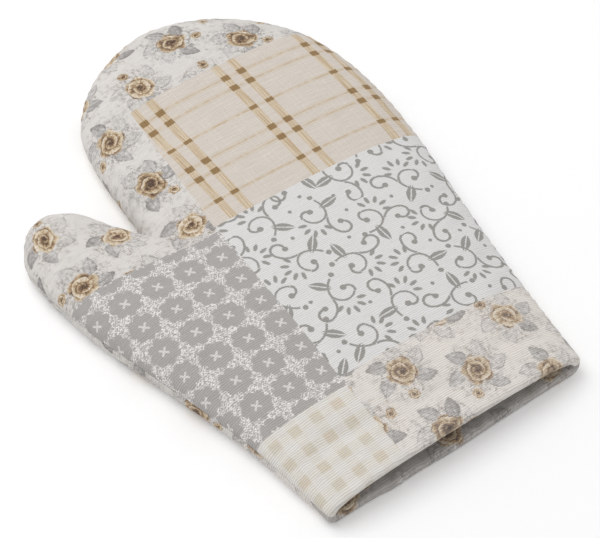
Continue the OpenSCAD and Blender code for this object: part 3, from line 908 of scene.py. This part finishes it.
def cotton(part, box):
    """Matt printed cotton: the print's dyes where this part of the cut has them, darkened by the
    weave's painted shade between its threads and its uneven thread tone, over its relief. Posies
    come first, and the patches cover them."""
    left, right, low, high = box[0] - 5, box[1] + 5, box[2] - 5, box[3] + 5
    paint, sh, skin = new_paint("cotton_" + part)
    flat = sh.node("ShaderNodeUVMap", [("uv_map", "Cut")]).outputs[0]
    cut = sh.vector("MULTIPLY", flat, (1000, 1000, 0))
    jitter = sh.node("ShaderNodeTexNoise", Vector=cut, Scale=1.1, Detail=1.0).outputs[1]
    jitter = sh.vector("MULTIPLY_ADD", jitter, (0.7, 0.7, 0), (-0.35, -0.35, 0))
    at = sh.vector("ADD", cut, jitter)
    x, y, _ = sh.parts(at)
    aged = sh.noise(at, 0.02, 2.0)
    color = sh.mix(aged, dye(228, 224, 220), dye(219, 214, 209))
    if low < -120:
        cream = (-24.0 - x).most(y + 94.0).within(8.0)
        color = sh.mix(cream * 0.8, color, dye(232, 225, 218))
        # Painted shade: past TURNED_IN, where the cotton turns in at the mouth, the ground is
        # washed dark grey for the shade inside the mouth; the posies are still printed over it.
        turned = (y - TURNED_IN).within(1.5) * 0.9
        painted_mouth_shade = sh.mix(sh.noise(at, 0.16, 3.0), dye(138, 134, 131), dye(206, 202, 199))
        color = sh.mix(turned, color, painted_mouth_shade)
    if part in FLORAL:
        color = posy(sh, at, color, 0.8 if part == "cuff" else 0.95)
    if right > SCROLL["left"] and low < PLAID["low"] and high > SCROLL["low"]:
        inside = (SCROLL["left"] - x + y * 0.03).most(SCROLL["low"] - y).most(y - PLAID["low"])
        inside = inside.most(x - PATCHES_END)
        white = dye(225, 224, 223)
        for flip, (here, _) in zip((1, -1), half_drop(sh, at, 2 * SPRIG_APART, SPRIG_DOWN)):
            sprig = sh.group("Sprig", Place=sh.vector("MULTIPLY", here, (1, flip, 0)))
            white = sh.mix(Ink(sh.tree, sprig["Mask"]) * 0.93, white, dye(152, 149, 144))
        color = sh.mix(inside.within(), color, white)
    if left < SCROLL["left"] and low < LATTICE["top"] and high > LATTICE["low"]:
        inside = (x - SCROLL["left"] - y * 0.03).most(LATTICE["low"] - y)
        inside = inside.most(y - LATTICE["top"] + (x + 50) * 0.08)
        color = sh.mix(inside.within(), color, sh.group("Lattice", Cut=at)["Color"])
    if left < GINGHAM_RIGHT and low < LATTICE["low"]:
        # The gingham ends at TURNED_IN, so the painted shade of the turned-in hem shows there.
        inside = (x - GINGHAM_RIGHT).most(y - LATTICE["low"]).most(TURNED_IN - y)
        color = sh.mix(inside.within(), color, sh.group("Gingham", Cut=at)["Color"])
    if right > PLAID["left"] and low < PLAID["top"] and high > PLAID["low"]:
        inside = (PLAID["left"] - x + (y - 76) * 0.11).most(PLAID["low"] - y)
        inside = inside.most(y - PLAID["top"]).most(x - PATCHES_END)
        color = sh.mix(inside.within(), color, sh.group("Plaid", Cut=at)["Color"])
    # The weave's Shade darkens the colour: painted shade between the threads, with uneven thread
    # tone.
    weave = sh.group("Weave", Cut=cut)
    shade = sh.joined(weave["Shade"], weave["Shade"], weave["Shade"])
    sh.feed(skin.inputs["Base Color"], sh.mix(1.0, color, shade, "MULTIPLY"))
    bump = sh.node("ShaderNodeBump", Height=weave["Height"], Distance=0.00012, Strength=0.7)
    sh.feed(skin.inputs["Normal"], bump.outputs[0])
    sh.feed(skin.inputs["Roughness"], Ink(sh.tree, weave["Shade"]) * -0.35 + 1.15)
    skin.inputs["Specular IOR Level"].default_value = 0.25
    skin.inputs["Sheen Weight"].default_value = 0.1
    skin.inputs["Sheen Roughness"].default_value = 0.5
    return paint


# Parts of the cut, each with the share of the print that it needs: left, right, low, high.
PARTS = {
    "side": (112, 160, -88, 95), "crown": (-130, 160, 95, 190), "check": (-8, 160, 14, 95),
    "thumb": (-130, -62, 4, 95), "roses": (-62, -8, 4, 95), "scroll": (-22, 160, -88, 14),
    "lattice": (-130, -22, -98, 4), "cuff": (-130, 160, -180, -88),
}
FLORAL = "side", "crown", "thumb", "roses", "cuff"
printed = [cotton(part, box) for part, box in PARTS.items()]


def dress(piece):
    """Give each face of a panel the print of the part that it lies in."""
    mesh = piece.data
    for paint in printed:
        mesh.materials.append(paint)
    flat = np.empty(2 * len(mesh.loops), np.float32)
    mesh.uv_layers["Cut"].data.foreach_get("uv", flat)
    start = np.empty(len(mesh.polygons), np.int32)
    mesh.polygons.foreach_get("loop_start", start)
    x, y = flat.reshape(-1, 2)[start].T / MM
    part = np.full(len(x), len(PARTS) - 1, np.int32)
    for k, (left, right, low, high) in reversed(list(enumerate(PARTS.values()))):
        part[(x >= left) & (x < right) & (y >= low) & (y < high)] = k
    mesh.polygons.foreach_set("material_index", part)


def cut_size(piece):
    """Width, length and area of the flat cut, in metres and square metres."""
    mesh = piece.data
    flat = np.empty(2 * len(mesh.loops))
    mesh.uv_layers["Cut"].data.foreach_get("uv", flat)
    flat = flat.reshape(-1, 2)
    area = 0.0
    for face in mesh.polygons:
        p = flat[face.loop_start:face.loop_start + face.loop_total]
        q = np.roll(p, -1, axis=0)
        area += abs((p[:, 0] * q[:, 1] - q[:, 0] * p[:, 1]).sum()) / 4
    return tuple(float(v) for v in flat.max(0) - flat.min(0)), area


dress(back_piece)
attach(back_piece, "root")
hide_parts("back_shell")
size, area = cut_size(back_piece)

# ---------------------------------------------------------------- printed cotton, palm
# The palm is cut like the back and lies flat where the mitt rests.
# Its print is mirrored and moved by PALM_CUT; the 8 mm move toward the cuff also brings the
# painted shade of the turned-in hem out over the palm's lip.
PALM_CUT = 34, -8
palm_net = np.array([palm_skin(d) for d in (0, CLOTH, HEM_AT, HEM_FACE)])
PALM_RINGS = len(PALM_TURN) + len(PALM_FLOOR)
palm_piece = cloth_object(
    "palm_cotton", palm_net, shell_faces(PALM_RINGS, "down", True),
    flat_cut(unswollen[1]) * (-1, 1) + PALM_CUT
)
dress(palm_piece)
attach(palm_piece, "root")
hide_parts("palm_shell")
size, area = cut_size(palm_piece)

# ---------------------------------------------------------------- wadding
# Two layers of soft polyester wadding, one in each panel, cut a little smaller than the
# cotton so that the seam and the hem fold stay thin, and trimmed back at the thumb
# crotch, where the seam turns sharply.
thread_open = math.asin((THREAD / 2 + GAP) / (CUFF_EDGE_R - WADDING_AT - WADDING))
wadding_layer = WADDING_AT, WADDING_AT + WADDING
CROTCH_STATION, TRIM_REACH, TRIM_IN, TRIM_UNDER = 12, 12, 0.5, 0.3
crotch = edge_xy[np.abs(station_u - CROTCH_STATION).argmin()]


def trimmed(net, under):
    """A wadding net with its outer skin drawn in round the crotch of the thumb."""
    off = np.linalg.norm(net[0, ..., :2] - crotch, axis=-1)
    share = np.exp(-((off / TRIM_REACH) ** 2))[..., None]
    net[0] += share * np.column_stack([inward * TRIM_IN, np.full(LAST + 1, under)])
    return net


back_fluff = np.array([back_skin(d, thread_open) for d in wadding_layer])
palm_fluff = np.array([palm_skin(d, -thread_open) for d in wadding_layer])
wadding_pieces = [
    cloth_object(
        "back_wadding_fill", trimmed(back_fluff, -TRIM_UNDER),
        shell_faces(len(BACK_RISE), "up", False),
    ),
    cloth_object(
        "palm_wadding_fill", trimmed(palm_fluff, TRIM_UNDER),
        shell_faces(PALM_RINGS, "down", False),
    ),
]
fluff, sh, skin = new_paint("polyester_wadding")
at = sh.node("ShaderNodeTexCoord").outputs["Object"]
tufts, hairs = sh.noise(at, 180, 3.0, 0.6), sh.noise(at, 1500, 2.0, 0.7)
fibre = tufts * 0.6 + hairs * 0.4
sh.feed(skin.inputs["Base Color"], sh.mix(fibre, dye(214, 212, 208), dye(244, 243, 240)))
sh.feed(skin.inputs["Roughness"], tufts * -0.1 + 1.0)
bump = sh.node("ShaderNodeBump", Height=tufts * 0.7 + hairs * 0.3, Distance=0.0006, Strength=0.8)
sh.feed(skin.inputs["Normal"], bump.outputs[0])
for piece, node in zip(wadding_pieces, ("back_wadding", "palm_wadding")):
    piece.data.materials.append(fluff)
    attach(piece, "root")
    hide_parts(node)

# ---------------------------------------------------------------- lining
# Plain cotton lining on the inside of each panel, caught in the seam and under the hem.
lining_layer = LINING_AT, LINING_AT + LINING
lining_cuts = [flat_cut(skin, False) for skin in unswollen_lining]
lining_pieces = [
    cloth_object(
        "back_lining_cotton", np.array([back_skin(d, thread_open) for d in lining_layer]),
        shell_faces(len(BACK_RISE), "up", False), lining_cuts[0],
    ),
    cloth_object(
        "palm_lining_cotton", np.array([palm_skin(d, -thread_open) for d in lining_layer]),
        shell_faces(PALM_RINGS, "down", False), lining_cuts[1],
    ),
]
plain_cotton, sh, skin = new_paint("plain_lining_cotton")
flat = sh.node("ShaderNodeUVMap", [("uv_map", "Cut")]).outputs[0]
cut = sh.vector("MULTIPLY", flat, (1000, 1000, 0))
weave = sh.group("Weave", Cut=cut)
# The weave's Shade darkens the lining too: painted shade between the threads, with uneven thread
# tone.
shade = sh.joined(weave["Shade"], weave["Shade"], weave["Shade"])
worn = sh.mix(sh.noise(cut, 0.05, 3.0), dye(212, 206, 196), dye(228, 224, 216))
sh.feed(skin.inputs["Base Color"], sh.mix(1.0, worn, shade, "MULTIPLY"))
sh.feed(skin.inputs["Roughness"], Ink(sh.tree, weave["Shade"]) * -0.3 + 1.15)
bump = sh.node("ShaderNodeBump", Height=weave["Height"], Distance=0.0001, Strength=0.7)
sh.feed(skin.inputs["Normal"], bump.outputs[0])
skin.inputs["Specular IOR Level"].default_value = 0.25
skin.inputs["Sheen Weight"].default_value = 0.1
for piece, node in zip(lining_pieces, ("back_lining", "palm_lining")):
    piece.data.materials.append(plain_cotton)
    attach(piece, "root")
    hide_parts(node)
    size, area = cut_size(piece)

# ---------------------------------------------------------------- seam thread
# Polyester thread in a lockstitch, which joins the two panels inside the seam.


def stitch_tree(name, thread_material):
    """Geometry nodes that lay round stitches end to end along a path."""
    tree = bpy.data.node_groups.new(name, "GeometryNodeTree")
    face = tree.interface
    face.new_socket("Path", in_out="INPUT", socket_type="NodeSocketGeometry")
    face.new_socket("Pitch", in_out="INPUT", socket_type="NodeSocketFloat")
    face.new_socket("Thickness", in_out="INPUT", socket_type="NodeSocketFloat")
    face.new_socket("Stitches", in_out="OUTPUT", socket_type="NodeSocketGeometry")
    new = tree.nodes.new
    given, out = new("NodeGroupInput"), new("NodeGroupOutput")
    to_curve = new("GeometryNodeMeshToCurve")
    spaced = new("GeometryNodeResampleCurve")
    spaced.mode = "LENGTH"
    way = new("GeometryNodeInputTangent")
    turn = new("FunctionNodeAlignRotationToVector")
    turn.axis = "X"
    ball = new("GeometryNodeMeshUVSphere")
    ball.inputs["Segments"].default_value = 8
    ball.inputs["Rings"].default_value = 6
    ball.inputs["Radius"].default_value = 0.5
    size = new("ShaderNodeCombineXYZ")
    longer = new("ShaderNodeMath")
    longer.operation = "MULTIPLY"
    longer.inputs[1].default_value = 1.04
    lay = new("GeometryNodeInstanceOnPoints")
    real = new("GeometryNodeRealizeInstances")
    paint = new("GeometryNodeSetMaterial")
    paint.inputs["Material"].default_value = thread_material
    smooth_all = new("GeometryNodeSetShadeSmooth")
    for start, leaves_by, end, enters_by in (
        (given, "Path", to_curve, "Mesh"), (to_curve, "Curve", spaced, "Curve"),
        (given, "Pitch", spaced, "Length"), (way, "Tangent", turn, "Vector"),
        (given, "Pitch", longer, 0), (longer, 0, size, "X"),
        (given, "Thickness", size, "Y"), (given, "Thickness", size, "Z"),
        (spaced, "Curve", lay, "Points"), (ball, "Mesh", lay, "Instance"),
        (turn, "Rotation", lay, "Rotation"), (size, "Vector", lay, "Scale"),
        (lay, "Instances", real, "Geometry"), (real, "Geometry", smooth_all, "Geometry"),
        (smooth_all, "Geometry", paint, "Geometry"), (paint, "Geometry", out, "Stitches"),
    ):
        tree.links.new(start.outputs[leaves_by], end.inputs[enters_by])
    return tree


def sewn(name, path, pitch, thickness, tree, closed):
    """Plain mesh of a row of stitches along a path in millimetres."""
    line = bpy.data.meshes.new(name + "_path")
    edges = [(i, i + 1) for i in range(len(path) - 1)] + ([(len(path) - 1, 0)] if closed else [])
    line.from_pydata((path * MM).tolist(), edges, [])
    guide = stood(name + "_path", line)
    nodes = guide.modifiers.new("stitches", "NODES")
    nodes.node_group = tree
    sockets = {i.name: i.identifier for i in tree.interface.items_tree if i.in_out == "INPUT"}
    nodes[sockets["Pitch"]] = pitch * MM
    nodes[sockets["Thickness"]] = thickness * MM
    seen = guide.evaluated_get(bpy.context.evaluated_depsgraph_get())
    mesh = bpy.data.meshes.new_from_object(seen)
    mesh.name = name
    bpy.data.objects.remove(guide)
    return stood(name, mesh)


thread_paint, sh, skin = new_paint("sewing_thread")
at = sh.node("ShaderNodeTexCoord").outputs["Object"]
x, y, z = sh.parts(at)
twist = ((x + y * 0.7 + z * 1.3) * 9000).do("SINE")
hairs = sh.noise(at, 2600, 2.0, 0.6)
sh.feed(skin.inputs["Base Color"], sh.mix(hairs, dye(206, 201, 192), dye(236, 232, 225)))
sh.feed(skin.inputs["Roughness"], hairs * 0.2 + 0.55)
bump = sh.node("ShaderNodeBump", Height=twist * 0.5 + hairs, Distance=0.00006, Strength=0.8)
sh.feed(skin.inputs["Normal"], bump.outputs[0])
SEAM_PITCH = 2.6
seam_in = WADDING_AT + WADDING / 2
seam_path = back_skin(seam_in, 0)[0][END_FOLD:LAST + 1 - END_FOLD]
stitches = stitch_tree("lockstitch", thread_paint)
seam_piece = sewn("seam_stitches", seam_path, SEAM_PITCH, THREAD, stitches, False)
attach(seam_piece, "root")
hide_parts("seam_thread")

# ---------------------------------------------------------------- hem thread
# One row of the same stitches holds the turned-in cotton, all round inside the mouth.
HEM_STITCH, HEM_PITCH = 3, 3.0
hem_in = HEM_FACE + GAP + THREAD / 2
hem_back, hem_palm = back_skin(hem_in, 0), palm_skin(hem_in, 0)
left, right = END_HEM, LAST - END_HEM
turn_up = len(PALM_TURN) - 1
hem_path = np.concatenate([
    hem_palm[turn_up::-1, left], hem_back[1:-1, left], hem_back[:0:-1, right],
    hem_palm[:turn_up + 1, right],
])
hem_path[:, 1] = edge_xy[END_HEM, 1] - HEM_STITCH
hem_piece = sewn("hem_stitches", hem_path, HEM_PITCH, THREAD, stitches, True)
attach(hem_piece, "root")
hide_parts("hem_thread")

# ---------------------------------------------------------------- table
# A plain pale table top under the mitt.
floor_mesh = bpy.data.meshes.new("table_top")
TABLE_HALF = 3.0
corners = [(TABLE_HALF * x, TABLE_HALF * y, 0) for x, y in ((-1, -1), (1, -1), (1, 1), (-1, 1))]
floor_mesh.from_pydata(corners, [], [(0, 1, 2, 3)])
table_top = stood("table_top", floor_mesh)
table_paint, sh, skin = new_paint("table_white")
skin.inputs["Base Color"].default_value = (0.93, 0.93, 0.93, 1)
skin.inputs["Roughness"].default_value = 0.9
skin.inputs["Emission Color"].default_value = (1, 1, 1, 1)
seen_straight = Ink(sh.tree, sh.node("ShaderNodeLightPath").outputs["Is Camera Ray"])
sh.feed(skin.inputs["Emission Strength"], seen_straight * 0.14)
floor_mesh.materials.append(table_paint)

# ---------------------------------------------------------------- light and camera
world = bpy.data.worlds.new("studio")
world.use_nodes = True
world.node_tree.nodes["Background"].inputs["Color"].default_value = (1, 1, 1, 1)
world.node_tree.nodes["Background"].inputs["Strength"].default_value = 0.6
bpy.context.scene.world = world
lamp = bpy.data.lights.new("softbox", "AREA")
lamp.size, lamp.energy = 1.2, 12
softbox = stood("softbox", lamp)
softbox.location = (-0.3, 0.6, 1.5)
softbox.rotation_euler = (math.radians(-22), math.radians(-11), 0)

AZIMUTH, ELEVATION, DISTANCE = math.radians(-35.13), math.radians(49.82), 1.2612
TARGET = (0.00813, -0.01699, 0)
camera = bpy.data.cameras.new("camera")
camera.sensor_width, camera.lens = 36, 158.26
camera_stand = stood("camera", camera)
level = math.cos(ELEVATION)
back_off = Vector((math.sin(AZIMUTH) * level, -math.cos(AZIMUTH) * level, math.sin(ELEVATION)))
camera_stand.location = Vector(TARGET) + back_off * DISTANCE
camera_stand.rotation_mode = "QUATERNION"
camera_stand.rotation_quaternion = (-back_off).to_track_quat("-Z", "Y")
bpy.context.scene.camera = camera_stand
bpy.context.scene.view_settings.view_transform = "Standard"
